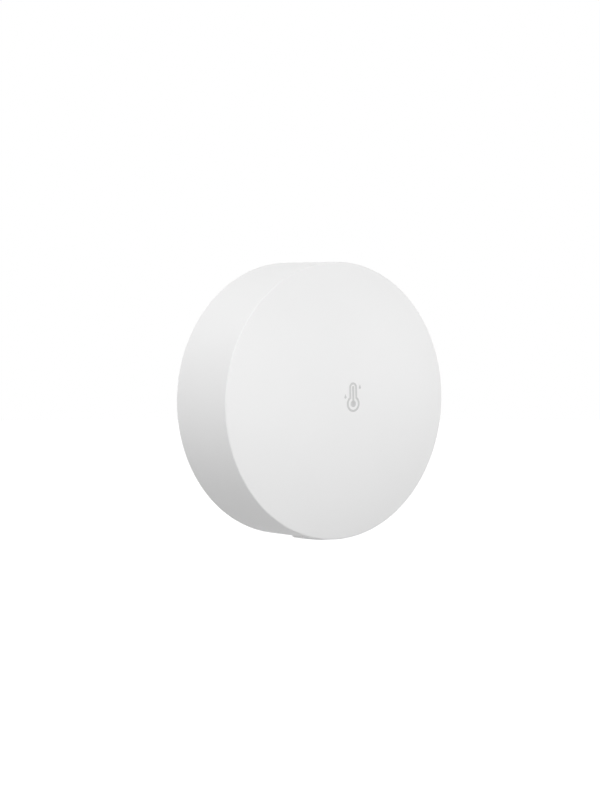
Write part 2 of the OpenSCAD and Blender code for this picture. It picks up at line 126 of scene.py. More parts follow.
# raises the surface by a pattern, up to this many millimetres
def bump(tree, shader, height, depthMm, strength):
    node = addNode(tree, "Bump", {"Strength": strength, "Distance": depthMm * mm}, Height=height)
    tree.links.new(node.outputs[0], shader.inputs["Normal"])


# blends two colours by a pattern, between two levels of it
def tint(tree, shader, factor, first, second, low=0.3, high=0.7):
    ramp = addNode(tree, "ValToRGB", _0=factor)
    ramp.color_ramp.elements[0].position = low
    ramp.color_ramp.elements[1].position = high
    ramp.color_ramp.elements[0].color = linear(first)
    ramp.color_ramp.elements[1].color = linear(second)
    tree.links.new(ramp.outputs[0], shader.inputs["Base Color"])


# lets one value of the shader follow a pattern
def vary(tree, shader, socket, factor, low, high):
    node = addNode(tree, "MapRange", {"To Min": low, "To Max": high}, Value=factor)
    tree.links.new(node.outputs[0], shader.inputs[socket])


# ABS moulded in a spark-eroded tool: white, even and matt, as the grain breaks up the gloss. The real
# grain is near 0.05 mm, too fine for the render, so it is drawn at 0.22 mm and very shallow
def whiteAbs(name, base="#F1F1F1", deeper="#F0F0F0", rough=0.5):
    material, tree, shader = newMaterial(name, base, rough, ior=1.53, Specular_IOR_Level=0.3)
    spark = grain(tree, 0.22, 3)
    cloud = grain(tree, 12, 1)
    tint(tree, shader, cloud.outputs[0], deeper, base)
    vary(tree, shader, "Roughness", spark.outputs[0], rough - 0.05, rough + 0.06)
    bump(tree, shader, spark.outputs[0], 0.004, 0.6)
    return material


# pad-printed ink: light grey, a little glossier than the plastic, with the faint grain of the pad
def padInk(name):
    material, tree, shader = newMaterial(name, "#CDCDCD", 0.42, ior=1.5)
    speck = grain(tree, 0.12, 2)
    tint(tree, shader, speck.outputs[0], "#CACACA", "#D0D0D0")
    bump(tree, shader, speck.outputs[0], 0.002, 0.4)
    return material


# closed-cell foam tape: white, dull, its skin pricked all over by cells near 0.4 mm, with painted shade
# darkening each pit
def foamTape(name):
    material, tree, shader = newMaterial(name, "#E8E7E3", 0.8, ior=1.45, Specular_IOR_Level=0.3)
    place = addNode(tree, "TexCoord")
    cells = addNode(tree, "TexVoronoi", {"Scale": perMm(0.4)}, Vector=place.outputs["Object"])
    pitShadeAndDepth = addNode(tree, "MapRange", {"From Max": 0.25}, Value=cells.outputs["Distance"])
    # painted shade: the colour darkens towards the middle of each pit, where the bump below sinks the
    # surface
    tint(tree, shader, pitShadeAndDepth.outputs[0], "#DAD9D4", "#E9E8E4", 0.0, 1.0)
    bump(tree, shader, pitShadeAndDepth.outputs[0], 0.02, 0.5)
    return material


# glass-filled nylon and PBT, moulded dark: matt with a fine bloom of fibres
def darkPlastic(name, base, lighter, rough=0.55, size=0.15):
    material, tree, shader = newMaterial(name, base, rough, ior=1.55)
    fibre = grain(tree, size, 4)
    tint(tree, shader, fibre.outputs[0], base, lighter)
    vary(tree, shader, "Roughness", fibre.outputs[0], rough - 0.08, rough + 0.1)
    bump(tree, shader, fibre.outputs[0], 0.006, 0.6)
    return material


# rolled, drawn or plated metal: a soft shine drawn out into fine lines, which lie some 0.04 to 0.08 mm
# apart, and slow blotches in the tone
def workedMetal(name, base, darker, rough, stretch=(1, 1, 12), lines=0.5, blotches=3.5, spread=0.08):
    material, tree, shader = newMaterial(name, base, rough, metal=1.0)
    rolled = grain(tree, lines, 3, stretch)
    blotch = grain(tree, blotches, 2)
    tint(tree, shader, blotch.outputs[0], darker, base)
    vary(tree, shader, "Roughness", rolled.outputs[0], rough - spread, rough + spread)
    bump(tree, shader, rolled.outputs[0], spread * 0.05, 0.5)
    return material


# glass-fibre board under a coat of solder mask: glossy, with the weave of the cloth just showing
# through it. The threads lie 0.6 mm apart; a wave texture turns by 20 radians over one of its units
def solderMask(name, base, lighter):
    material, tree, shader = newMaterial(name, base, 0.3, ior=1.55, Coat_Weight=0.3, Coat_Roughness=0.15)
    cloud = grain(tree, 5, 2)
    tint(tree, shader, cloud.outputs[0], base, lighter)
    place = addNode(tree, "TexCoord")
    threads = [addNode(tree, "TexWave", {"bands_direction": axis, "Scale": perMm(0.6) * turn / 20},
                       Vector=place.outputs["Object"]).outputs["Fac"] for axis in ("X", "Z")]
    weave = addNode(tree, "Math", {"operation": "ADD"}, _0=threads[0], _1=threads[1])
    bump(tree, shader, weave.outputs[0], 0.003, 0.4)
    return material


# screen-printed legend: opaque white ink with a slightly ragged, matt surface
def legendInk(name):
    material, tree, shader = newMaterial(name, "#E6E7E2", 0.6, ior=1.5)
    mesh = grain(tree, 0.15, 2)
    tint(tree, shader, mesh.outputs[0], "#DCDDD6", "#EAEBE7")
    bump(tree, shader, mesh.outputs[0], 0.004, 0.6)
    return material


# solder: tin that froze in the air, bright with a faint orange-peel ripple
def frozenTin(name):
    material, tree, shader = newMaterial(name, "#D3D4D6", 0.22, metal=1.0)
    ripple = grain(tree, 0.25, 2)
    vary(tree, shader, "Roughness", ripple.outputs[0], 0.16, 0.32)
    bump(tree, shader, ripple.outputs[0], 0.01, 0.6)
    return material


# fired ceramic and moulded epoxy of small parts: dense, faintly speckled, with a dull shine
def firedCeramic(name, base, darker, rough=0.4):
    material, tree, shader = newMaterial(name, base, rough, ior=1.6)
    speck = grain(tree, 0.1, 3)
    tint(tree, shader, speck.outputs[0], darker, base)
    bump(tree, shader, speck.outputs[0], 0.003, 0.5)
    return material


# clear epoxy over a pale chip: glassy, with a yellowish glow from below
def clearEpoxy(name):
    material, tree, shader = newMaterial(name, "#F0EFDC", 0.12, ior=1.52, Transmission_Weight=0.35)
    ripple = grain(tree, 0.4, 2)
    bump(tree, shader, ripple.outputs[0], 0.003, 0.3)
    return material


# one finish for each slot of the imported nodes
finishes = {
    "shell_white": whiteAbs("mouldedWhiteAbs"),
    "cover_white": whiteAbs("mouldedCoverAbs", "#ECECEC", "#E9E9E9", 0.55),  # duller than the shell
    "button_white": whiteAbs("satinButtonAbs", "#F0F0F0", "#EFEFEF", 0.42),  # smoother, with a soft shine
    "symbol_ink": padInk("padPrintedInk"),
    "pad_foam": foamTape("closedCellFoamTape"),
    "holder_black": darkPlastic("glassFilledNylon", "#26262A", "#303035"),
    "gasket_black": darkPlastic("sealingNylon", "#1C1C1E", "#26262A", 0.5),  # softer and darker
    "switch_black": darkPlastic("switchPbt", "#1D1D1F", "#29292C", 0.45, 0.1),  # finer and glossier
    "chip_black": darkPlastic("epoxyMouldCompound", "#1B1B1D", "#27272A", 0.6, 0.08),  # stone-like, matt
    "cathode_black": darkPlastic("pressedManganeseOxide", "#141414", "#232323", 0.9, 0.2),  # sooty
    "anode_grey": workedMetal("rolledLithium", "#A9ABB0", "#94969C", 0.5),  # soft grey, hardly shines
    "contact_nickel": workedMetal("nickelSpringStrip", "#C9C3B6", "#B9B2A4", 0.3),  # warm and bright
    # nearly a mirror, with its lines only just there
    "cell_steel": workedMetal("drawnStainlessSteel", "#C9C9CA", "#C3C3C5", 0.25, (1, 1, 8), 0.4, 14, 0.025),
    "screw_steel": workedMetal("zincPlatedSteel", "#B5B8BD", "#9DA0A6", 0.33),  # cool and bluish
    "tinned_steel": workedMetal("tinnedSteel", "#C9CACC", "#B4B6B9", 0.35),  # pale and even
    "spring_steel": workedMetal("rolledSpringSteel", "#BDB6A6", "#A59E8D", 0.3),  # straw grey
    "copper_gold": workedMetal("goldFlashedCopper", "#E0BC6C", "#CDA555", 0.28),  # yellow and bright
    "board_green": solderMask("greenSolderMask", "#17502D", "#1D5C35"),
    "chip_ceramic": firedCeramic("crystalCeramic", "#C9BFA6", "#B5AA90"),
    "capacitor_tan": firedCeramic("capacitorCeramic", "#B39A76", "#9C8360"),  # browner
    "capacitor_yellow": firedCeramic("tantalumEpoxy", "#D8A43A", "#C8932C", 0.35),  # amber, a little glossy
    "led_clear": clearEpoxy("clearLedEpoxy"),
}
maskedCopper = solderMask("maskOverCopper", "#2B7445", "#31804D")  # paler, as copper lies below it
boardLegend = legendInk("screenPrintedLegend")
frozenSolder = frozenTin("frozenSolder")
slotOf = {row["node"]: row["material_slot"] for row in frame["record"]["subparts"]}
bodies = frame["record"]["behaviour"]["bodies"]
bodyOf = {node: body for body, members in bodies.items() for node in members}
print("finishes are mixed:", len(finishes))


def bevel(bm, geom, offset, segments, affect="EDGES"):
    bmesh.ops.bevel(bm, geom=geom, offset=offset, segments=segments, profile=0.5, affect=affect, material=-1)


# radii and heights off the wall in metres; a point is (radius, height, rounding), an arc is
# (centre radius, centre height, angle, steps)
def drawSection(bm, steps, closed=False):
    first = last = None
    corners = []
    for radius, height, *rest in steps:
        place = (radius, -height, 0)
        if len(rest) == 2:
            angle, count = rest
            made = bmesh.ops.spin(bm, geom=[last], cent=place, axis=(0, 0, 1), angle=angle, steps=count)
            last = made["geom_last"][0]
            continue
        vert = bm.verts.new(place)
        if last:
            bm.edges.new((last, vert))
        if rest[0]:
            corners.append((vert, rest[0]))
        first, last = first or vert, vert
    if closed:
        bm.edges.new((last, first))
    for vert, size in corners:
        bevel(bm, [vert], size, 5, "VERTICES")


def turnSection(bm, steps, turns, closed=False):
    drawSection(bm, steps, closed)
    outline = bm.verts[:] + bm.edges[:]
    bmesh.ops.spin(bm, geom=outline, cent=(0, 0, 0), axis=(0, 1, 0), angle=turn, steps=turns, use_merge=True)
    bmesh.ops.remove_doubles(bm, verts=bm.verts, dist=smallGap)
    bmesh.ops.recalc_face_normals(bm, faces=bm.faces)


def addBar(bm, low, high):
    size = Vector(high) - Vector(low)
    place = Matrix.Translation(Vector(low) + size / 2) @ Matrix.Diagonal((*size, 1))
    return bmesh.ops.create_cube(bm, size=1, matrix=place)["verts"]


# round bar between two heights off the wall
def addPeg(bm, radius, low, high, x=0, z=0, segments=48):
    place = Matrix.Translation((x, -(low + high) / 2, z)) @ Matrix.Rotation(math.pi / 2, 4, "X")
    return bmesh.ops.create_cone(bm, cap_ends=True, segments=segments, radius1=radius, radius2=radius,
                                 depth=high - low, matrix=place)["verts"]


def meshObject(name, bm):
    mesh = bpy.data.meshes.new(name)
    bm.to_mesh(mesh)
    bm.free()
    obj = bpy.data.objects.new(name, mesh)
    scene.collection.objects.link(obj)
    return obj


# cuts or joins with the solids of a bmesh, and keeps the result as the object's own mesh
def combine(obj, bm, how):
    bmesh.ops.recalc_face_normals(bm, faces=bm.faces)
    tool = meshObject(obj.name + "Tool", bm)
    step = obj.modifiers.new(how, "BOOLEAN")
    step.operation = how
    step.solver = "EXACT"
    step.object = tool
    keepModifiers(obj)
    bpy.data.objects.remove(tool)


def keepModifiers(obj):
    graph = bpy.context.evaluated_depsgraph_get()
    obj.data = bpy.data.meshes.new_from_object(obj.evaluated_get(graph))
    obj.modifiers.clear()


def softenEdges(obj, width):
    step = obj.modifiers.new("softEdges", "BEVEL")
    step.width = width * mm
    step.segments = 2
    step.limit_method = "ANGLE"
    step.angle_limit = math.radians(sharpAngle)
    step.harden_normals = False
    keepModifiers(obj)


# gives a finished mesh its smooth faces, finish, body and place in the model
def seat(obj, node):
    obj.data.shade_smooth()
    obj.data.set_sharp_from_angle(angle=math.radians(sharpAngle))
    flat = obj.modifiers.new("flatFaces", "WEIGHTED_NORMAL")  # a flat face stays flat beside its soft edges
    flat.keep_sharp = True
    keepModifiers(obj)
    obj.data.materials.clear()
    obj.data.materials.append(finishes[slotOf[node]])
    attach(obj, bodyOf[node])
    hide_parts(node)
    return obj


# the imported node's mesh with its doubles merged
def mergedCopy(node):
    bm = bmesh.new()
    bm.from_mesh(nodes[node].data)
    bmesh.ops.remove_doubles(bm, verts=bm.verts, dist=packedGap)
    return bm


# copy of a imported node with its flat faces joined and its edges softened
def refine(node, name, width):
    bm = mergedCopy(node)
    level = math.radians(0.05)  # faces that turn by less lie in one plane
    bmesh.ops.dissolve_limit(bm, angle_limit=level, verts=bm.verts, edges=bm.edges)
    obj = meshObject(name, bm)
    if width:
        softenEdges(obj, width)
    return seat(obj, node)


# turns what lies along +X about the axis of the case, by degrees as one faces it
def spinTo(bm, verts, degrees):
    rotate(bm, verts, -math.radians(degrees), "Y")


def rotate(bm, verts, angle, axis):
    bmesh.ops.rotate(bm, verts=verts, cent=(0, 0, 0), matrix=Matrix.Rotation(angle, 3, axis))


# front shell: side wall and domed face in one moulding
shellLow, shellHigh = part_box("front_shell")
boardLow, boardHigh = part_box("circuit_board")
buttonLow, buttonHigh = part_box("pairing_button")
caseR = shellHigh.x
backZ = -shellHigh.y
apexZ = -shellLow.y
boardFront = -boardLow.y
boardBack = -boardHigh.y
shell = {
    "wall": 1.6 * mm,
    "rise": 4 * mm,
    "rimRound": 0.3 * mm,
    "backRound": 0.2 * mm,
    "grooveZ": 1.15 * mm,
    "grooveH": 0.75 * mm,
    "grooveDepth": 0.27 * mm,
    "turns": 256,
    "domeSteps": 40,
    "rimSteps": 10,
    "insideSteps": 24,
    "bossR": 1.87 * mm,
    "bossHoleR": 0.82 * mm,
    "bossHoleDepth": 2.15 * mm,
    "bossPlace": 17 * mm,
    "bossAngles": (35, 145, 245),
    "ribAngles": (10, 120, 215, 295),
    "ribW": 1.4 * mm,
    "ribProud": 0.9 * mm,
    "ribFoot": 1.9 * mm,
    "ribTop": 7.9 * mm,
    "ventCount": 5,
    "ventMiddle": -35,
    "ventStep": 5.5,
    "ventW": 0.9 * mm,
    "ventLen": 4.5 * mm,
    "ventZ": 6.5 * mm,
    "ventPoints": 32,
    "holeR": 3.65 * mm,
    "holeTurns": 96,
    "holeRound": 0.12 * mm,
    # the quarter round where a hole leaves the wall: how much wider it is, and how far under the surface
    "flareShares": ((0, 1), (0.08, 0.6), (0.3, 0.3), (1, -0.05)),
    "glowR": 1.6 * mm,  # thin spot over the light
    "glowPlace": -12.18 * mm,
    "glowSkin": 0.7 * mm,
}
roomR = caseR - shell["wall"]
domeR = (caseR ** 2 + shell["rise"] ** 2) / (2 * shell["rise"])
domeC = apexZ - domeR
buttonZ = -(buttonLow.y + buttonHigh.y) / 2


# height off the wall of the dome, this deep under its surface and this far from the axis
def domeZ(depth, radius):
    return domeC + math.sqrt((domeR - depth) ** 2 - radius ** 2)


def shellSection():
    filletR = caseR - shell["rimRound"]
    tilt = math.asin(filletR / (domeR - shell["rimRound"]))
    filletZ = domeC + (domeR - shell["rimRound"]) * math.cos(tilt)
    inner = domeR - shell["wall"]
    innerTilt = math.asin(roomR / inner)
    grooveR = roomR + shell["grooveDepth"]
    low, high = shell["grooveZ"] - shell["grooveH"] / 2, shell["grooveZ"] + shell["grooveH"] / 2
    return [
        (0, apexZ, 0),
        (0, domeC, tilt, shell["domeSteps"]),
        (filletR, filletZ, math.pi / 2 - tilt, shell["rimSteps"]),
        (caseR, backZ, shell["backRound"]),
        (roomR, backZ, shell["backRound"] / 2),
        (roomR, low, 0),
        (grooveR, low, 0),
        (grooveR, high, 0),
        (roomR, high, 0),
        (roomR, domeC + inner * math.cos(innerTilt), 0),
        (0, domeC, -innerTilt, shell["insideSteps"]),
    ]


# radius and distance from the axis along a hole that is this wide, from inside the wall to outside
def flared(radius):
    soft, past = shell["holeRound"], shell["wall"]
    steps = [(radius + soft * wider, caseR - soft * deep) for wider, deep in shell["flareShares"]]
    return [(radius, roomR - past), *steps, (steps[-1][0], caseR + past)]


# slot with round ends
def addVent(bm, degrees):
    half = (shell["ventLen"] - shell["ventW"]) / 2
    loops = []
    for radius, out in flared(shell["ventW"] / 2):
        count = shell["ventPoints"]
        verts = bmesh.ops.create_circle(bm, cap_ends=False, segments=count, radius=radius)["verts"]
        rotate(bm, verts, turn / count / 2, "Z")
        for vert in verts:
            vert.co.y += math.copysign(half, vert.co.y)
        rotate(bm, verts, math.pi / 2, "Y")
        bmesh.ops.translate(bm, verts=verts, vec=(out, -shell["ventZ"], 0))
        loops.append(verts)
    rims = [{e for v in verts for e in v.link_edges} for verts in loops]
    for inner, outer in zip(rims, rims[1:]):
        bmesh.ops.bridge_loops(bm, edges=list(inner | outer))
    for rim in (rims[0], rims[-1]):
        bmesh.ops.contextual_create(bm, geom=list(rim))
    spinTo(bm, [v for verts in loops for v in verts], degrees)


# bends what is drawn along the button's axis so that its outer end follows the side wall
def bendToWall(bm, verts, start):
    for vert in verts:
        if -vert.co.y > start:
            vert.co.y = -math.sqrt(vert.co.y ** 2 - vert.co.x ** 2)


# points down what is drawn towards the face, and moves it to the button's place
def pointDown(bm, verts):
    rotate(bm, verts, math.pi / 2, "X")
    bmesh.ops.translate(bm, verts=verts, vec=(0, -buttonZ, 0))


def buttonHole():
    bm = bmesh.new()
    steps = flared(shell["holeR"])
    steps = [(0, steps[0][1]), *steps, (0, steps[-1][1])]
    turnSection(bm, [(radius, out, 0) for radius, out in steps], shell["holeTurns"])
    bendToWall(bm, bm.verts, roomR)
    pointDown(bm, bm.verts)
    return bm


# shading that follows the turned surfaces exactly, also on the faces that the holes cut up
def followTurning(obj):
    mesh = obj.data
    normals = [Vector(corner.vector) for corner in mesh.corner_normals]
    domeMiddle = Vector((0, -domeC, 0))
    sameWay = 0.999  # cosine past which a face lies along the surface
    for face in mesh.polygons:
        for corner in face.loop_indices:
            place = mesh.vertices[mesh.loops[corner].vertex_index].co
            side = Vector((place.x, 0, place.z))
            fromMiddle = place - domeMiddle
            for out, radius in ((side, caseR), (fromMiddle, domeR)):
                if abs(out.length - radius) < near and face.normal.dot(out.normalized()) > sameWay:
                    normals[corner] = out.normalized()
                    break
    mesh.normals_split_custom_set(normals)


def makeFrontShell():
    bm = bmesh.new()
    turnSection(bm, shellSection(), shell["turns"])
    obj = meshObject("frontShell", bm)
    stiff = bmesh.new()
    for degrees in shell["bossAngles"]:
        high = domeZ(shell["wall"] / 2, shell["bossPlace"])
        spinTo(stiff, addPeg(stiff, shell["bossR"], boardFront, high, shell["bossPlace"]), degrees)
    for degrees in shell["ribAngles"]:
        low = (roomR - shell["ribProud"], -shell["ribTop"], -shell["ribW"] / 2)
        high = (roomR + shell["wall"] / 2, -shell["ribFoot"], shell["ribW"] / 2)
        spinTo(stiff, addBar(stiff, low, high), degrees)
    combine(obj, stiff, "UNION")
    cut = bmesh.new()
    first = shell["ventMiddle"] - shell["ventStep"] * (shell["ventCount"] - 1) / 2
    for i in range(shell["ventCount"]):
        addVent(cut, first + i * shell["ventStep"])
    top = domeZ(shell["glowSkin"], -shell["glowPlace"] + shell["glowR"])
    addPeg(cut, shell["glowR"], boardFront, top, 0, shell["glowPlace"])
    for degrees in shell["bossAngles"]:
        low, high = boardFront - shell["wall"], boardFront + shell["bossHoleDepth"]
        spinTo(cut, addPeg(cut, shell["bossHoleR"], low, high, shell["bossPlace"]), degrees)
    combine(obj, cut, "DIFFERENCE")
    combine(obj, buttonHole(), "DIFFERENCE")
    seat(obj, "front_shell")
    followTurning(obj)


makeFrontShell()
print("front shell is moulded")


# button: follows the side wall's curve, with a flange inside and a stem that meets the switch
button = {
    "r": 3.55 * mm,
    "edgeRound": 0.35 * mm,
    "proud": 0.3 * mm,
    "faceShares": (0.25, 0.5, 0.75),
    "flangeR": 4.05 * mm,
    "flangeRound": 0.1 * mm,
    "flangeBack": 20.05 * mm,
    "flangeTop": 20.85 * mm,
    "stemR": 1.5 * mm,
    "stemTip": 18.8 * mm,
    "stemRound": 0.15 * mm,
    "turns": 96,
}


def makeButton():
    bm = bmesh.new()
    top = caseR + button["proud"]
    turnSection(bm, [
        (0, top, 0),
        *[(button["r"] * share, top, 0) for share in button["faceShares"]],
        (button["r"], top, button["edgeRound"]),
        (button["r"], button["flangeTop"], 0),
        (button["flangeR"], button["flangeTop"], button["flangeRound"]),
        (button["flangeR"], button["flangeBack"], button["flangeRound"]),
        (button["stemR"], button["flangeBack"], 0),
        (button["stemR"], button["stemTip"], button["stemRound"]),
        (0, button["stemTip"], 0),
    ], button["turns"])
    bendToWall(bm, bm.verts, button["flangeBack"] - near)
    pointDown(bm, bm.verts)
    seat(meshObject("pairingButton", bm), "pairing_button")


makeButton()
print("button is in")

# rear cover: disc with a recess for the pad, four snap beads, a press ring and a pry notch
cover = {
    "r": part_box("rear_cover")[1].x,
    "back": 0.4 * mm,
    "top": 1.9 * mm,
    "edgeRound": 0.2 * mm,
    "recessR": 18.18 * mm,
    "recess": 1.0 * mm,
    "recessRound": 0.1 * mm,
    "beadZ": 1.15 * mm,
    "beadH": 0.5 * mm,
    "beadProud": 0.27 * mm,
    "beadRoot": 0.5 * mm,
    "beadRound": 0.12 * mm,
    "beadAngles": (45, 135, 225, 315),
    "beadArc": 24,
    "beadSteps": 17,
    "ringR": 9 * mm,
    "ringW": 1 * mm,
    "ringH": 0.2 * mm,
    "ringRound": 0.08 * mm,
    "notchW": 8 * mm,
    "notchDepth": 1 * mm,
    "notchTop": 1.5 * mm,
    "notchRound": 0.4 * mm,
}


def makeRearCover():
    discR, top = cover["r"], cover["top"]
    bm = bmesh.new()
    ringTop, ringOut = top + cover["ringH"], cover["ringR"] + cover["ringW"]
    turnSection(bm, [
        (0, cover["recess"], 0),
        (cover["recessR"], cover["recess"], 0),
        (cover["recessR"], cover["back"], cover["recessRound"]),
        (discR, cover["back"], cover["edgeRound"]),
        (discR, top, cover["edgeRound"]),
        (ringOut, top, 0),
        (ringOut, ringTop, cover["ringRound"]),
        (cover["ringR"], ringTop, cover["ringRound"]),
        (cover["ringR"], top, 0),
        (0, top, 0),
    ], shell["turns"])
    obj = meshObject("rearCover", bm)
    beads = bmesh.new()
    for degrees in cover["beadAngles"]:
        bead = bmesh.new()
        low, high = cover["beadZ"] - cover["beadH"] / 2, cover["beadZ"] + cover["beadH"] / 2
        drawSection(bead, [
            (discR - cover["beadRoot"], low, 0),
            (discR + cover["beadProud"], low, cover["beadRound"]),
            (discR + cover["beadProud"], high, cover["beadRound"]),
            (discR - cover["beadRoot"], high, 0),
        ], closed=True)
        face = bmesh.ops.contextual_create(bead, geom=bead.edges[:])["faces"]
        arc, steps = math.radians(cover["beadArc"]), cover["beadSteps"]
        bmesh.ops.spin(bead, geom=face, cent=(0, 0, 0), axis=(0, 1, 0), angle=arc, steps=steps)
        spinTo(bead, bead.verts, degrees + cover["beadArc"] / 2)
        bmesh.ops.recalc_face_normals(bead, faces=bead.faces)
        part = bpy.data.meshes.new("bead")
        bead.to_mesh(part)
        beads.from_mesh(part)
        bpy.data.meshes.remove(part)
    combine(obj, beads, "UNION")
    notch = bmesh.new()
    low = (-cover["notchW"] / 2, -cover["notchTop"], -discR - cover["notchDepth"])
    high = (cover["notchW"] / 2, 0, cover["notchDepth"] - discR)
    addBar(notch, low, high)
    upright = [e for e in notch.edges if abs(e.verts[0].co.y - e.verts[1].co.y) > near]
    bevel(notch, upright, cover["notchRound"], 5)
    combine(obj, notch, "DIFFERENCE")
    seat(obj, "rear_cover")


makeRearCover()

# adhesive pad: die-cut foam, so its edge is square with a slightly crushed corner
pad = {
    "r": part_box("mounting_pad")[1].x,
    "depth": 1 * mm,
    "edgeRound": 0.12 * mm,
    "turns": 192,
}
padMesh = bmesh.new()
turnSection(padMesh, [
    (0, 0, 0),
    (pad["r"], 0, pad["edgeRound"]),
    (pad["r"], pad["depth"], pad["edgeRound"]),
    (0, pad["depth"], 0),
], pad["turns"])
seat(meshObject("mountingPad", padMesh), "mounting_pad")
print("cover and pad are on the wall")

# coin cell: drawn can with its edge crimped over a gasket, and the cap that stands in it
canLow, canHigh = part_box("cell_can")
capLow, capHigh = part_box("cell_cap")
cell = {
    "r": canHigh.x,
    "back": -canHigh.y,
    "lip": -canLow.y,
    "front": -capLow.y,
    "capR": capHigh.x,
    "wall": 0.3 * mm,
    "canRound": 0.7 * mm,
    "crimpShare": 0.93,
    "crimpRound": 0.45 * mm,
    "crimpInside": 0.2 * mm,
    "edgeRound": 0.1 * mm,
    "capRound": 0.25 * mm,
    "gasketLip": 0.2 * mm,
    "gasketRound": 0.08 * mm,
    "gasketInside": 0.05 * mm,
    "faceR": 10.6 * mm,
    "faceDepth": 0.06 * mm,
    "faceSlope": 0.15 * mm,
    "plusLen": 3.4 * mm,
    "plusW": 0.6 * mm,
    "plusPlace": 5.2 * mm,
    "plusDepth": 0.14 * mm,
    "pelletShare": 0.62,
    "coreGap": 0.05 * mm,
    "coreRound": 0.12 * mm,
    "canTurns": 160,
    "capTurns": 128,
    "coreTurns": 96,
}


def makeCell():
    wall, r, back, lip = cell["wall"], cell["r"], cell["back"], cell["lip"]
    soft, crimpR = cell["edgeRound"], r * cell["crimpShare"]
    can = bmesh.new()
    turnSection(can, [
        (0, back, 0),
        (cell["faceR"], back, soft),
        (cell["faceR"] + cell["faceSlope"], back + cell["faceDepth"], 0),
        (r, back + cell["faceDepth"], cell["canRound"]),
        (r, lip, cell["crimpRound"]),
        (crimpR, lip, soft),
        (crimpR, lip - wall, 0),
        (r - wall, lip - wall, cell["crimpInside"]),
        (r - wall, back + wall, cell["canRound"] - wall),
        (0, back + wall, 0),
    ], cell["canTurns"])
    obj = meshObject("cellCan", can)
    for size in ((cell["plusLen"], cell["plusW"]), (cell["plusW"], cell["plusLen"])):
        bar = bmesh.new()  # the plain sign of the positive side, pressed into the can
        low = (-size[0] / 2, -back - cell["plusDepth"], cell["plusPlace"] - size[1] / 2)
        high = (size[0] / 2, -back + wall, cell["plusPlace"] + size[1] / 2)
        addBar(bar, low, high)
        combine(obj, bar, "DIFFERENCE")
    seat(obj, "cell_can")

    gasket = bmesh.new()
    turnSection(gasket, [
        (cell["capR"], back + 2 * wall, 0),
        (r - wall, back + 2 * wall, soft),
        (r - wall, lip - wall, soft),
        (crimpR, lip - wall, 0),
        (crimpR, lip + cell["gasketLip"], cell["gasketRound"]),
        (cell["capR"], lip + cell["gasketLip"], cell["gasketInside"]),
    ], cell["capTurns"], closed=True)
    seat(meshObject("cellGasket", gasket), "cell_gasket")

    cap = bmesh.new()
    turnSection(cap, [
        (0, cell["front"], 0),
        (cell["capR"], cell["front"], cell["capRound"]),
        (cell["capR"], back + 3 * wall, 0),
        (cell["capR"] - wall, back + 3 * wall, 0),
        (cell["capR"] - wall, cell["front"] - wall, soft),
        (0, cell["front"] - wall, 0),
    ], cell["capTurns"])
    seat(meshObject("cellCap", cap), "cell_cap")

    coreR = cell["capR"] - wall - cell["coreGap"]
    split = back + wall + (cell["front"] - back - 2 * wall) * cell["pelletShare"]
    for name, node, low, high in (
        ("cathodePellet", "cathode_pellet", back + wall, split),
        ("anodeDisc", "anode_disc", split + cell["coreGap"], cell["front"] - wall),
    ):
        core = bmesh.new()
        turnSection(core, [
            (0, low, 0),
            (coreR, low, cell["coreRound"]),
            (coreR, high, cell["coreRound"]),
            (0, high, 0),
        ], cell["coreTurns"])
        seat(meshObject(name, core), node)


makeCell()
print("cell is in its well")

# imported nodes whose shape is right: their edges are softened by this many millimetres, and 0 leaves
# printing, thin sheet and the snap dome as they are
softened = {
    "face_symbol": 0,
    "battery_holder": 0.12,
    "positive_contact": 0.04,
    "negative_contact": 0.04,
    "circuit_board": 0.03,
    "board_screws": 0.08,
    "switch_body": 0.12,
    "switch_bracket": 0.05,
    "switch_leads": 0.04,
    "switch_dome": 0,
    "switch_plunger": 0.1,
    "humidity_sensor": 0.06,
    "radio_chip": 0.05,
    "memory_chip": 0.08,
    "memory_leads": 0.04,
    "crystal_base": 0.06,
    "crystal_lid": 0.05,
    "antenna_trace": 0,
    "inductor": 0.12,
    "buffer_capacitor": 0.12,
    "chip_resistors": 0.04,
    "chip_capacitors": 0.05,
    "status_led": 0.05,
    "test_pads": 0,
}
refined = {}
for node, width in softened.items():
    first, *others = node.split("_")
    name = first + ("".join(word.title() for word in others) or "Part")  # a piece isn't named as its node
    refined[node] = refine(node, name, width)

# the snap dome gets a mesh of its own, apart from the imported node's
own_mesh(refined["switch_dome"])
print("board and its parts are finished:", len(softened))

# what lies on the board comes next: tracks under the mask, the printed legend and the solder
board = {
    "front": -boardFront,  # the places of its faces along Y
    "back": -boardBack,
    "sharpAngle": 40,
    "trackR": 0.11 * mm,
    "trackH": 0.025 * mm,
    "viaR": 0.3 * mm,
    "viaTipShare": 0.6,
    "viaPoints": 16,
    "viaPlace": 19.7 * mm,
    "viaStep": 9,
    "viaFree": ((-115, -65), (-60, -8)),  # at the switch and at the sensor's tongue
    "leadPitch": 1.27,  # this and the next in plain millimetres
    "padPitch": 0.5,
    "padsASide": 10,
}
# tracks from a piece to a piece, with the millimetres right of and above its middle; "" is the case's axis
tracksBehind = (
    ("buffer_capacitor", -1.0, 0.3, "", -1.5, 13),
    ("buffer_capacitor", 1.0, -0.3, "", 8.5, 10.5),
    ("", 2.2, -13.7, "", 5, -12),
    ("", -2.2, -13.7, "", -4.6, -12),
)
tracksAhead = (
    *[("memory_leads", 3.4, board["leadPitch"] * i - 1.9, "radio_chip", -3.2, board["padPitch"] * i - 2.2)
      for i in range(4)],
    ("radio_chip", 3.2, 1.2, "crystal_base", -1.2, -0.8),
    ("radio_chip", 3.2, 1.8, "crystal_base", -1.2, 0.8),
    ("radio_chip", -0.4, 3.2, "antenna_trace", 2.6, -1.6),
    ("radio_chip", -1.2, 3.2, "inductor", 1.0, 0),
    ("status_led", 0.6, 0, "", 1.6, -9.75),
    ("", 2.5, -9.75, "radio_chip", 1.2, -3.2),
    ("", 2.2, -13.7, "radio_chip", 1.8, -3.2),
)
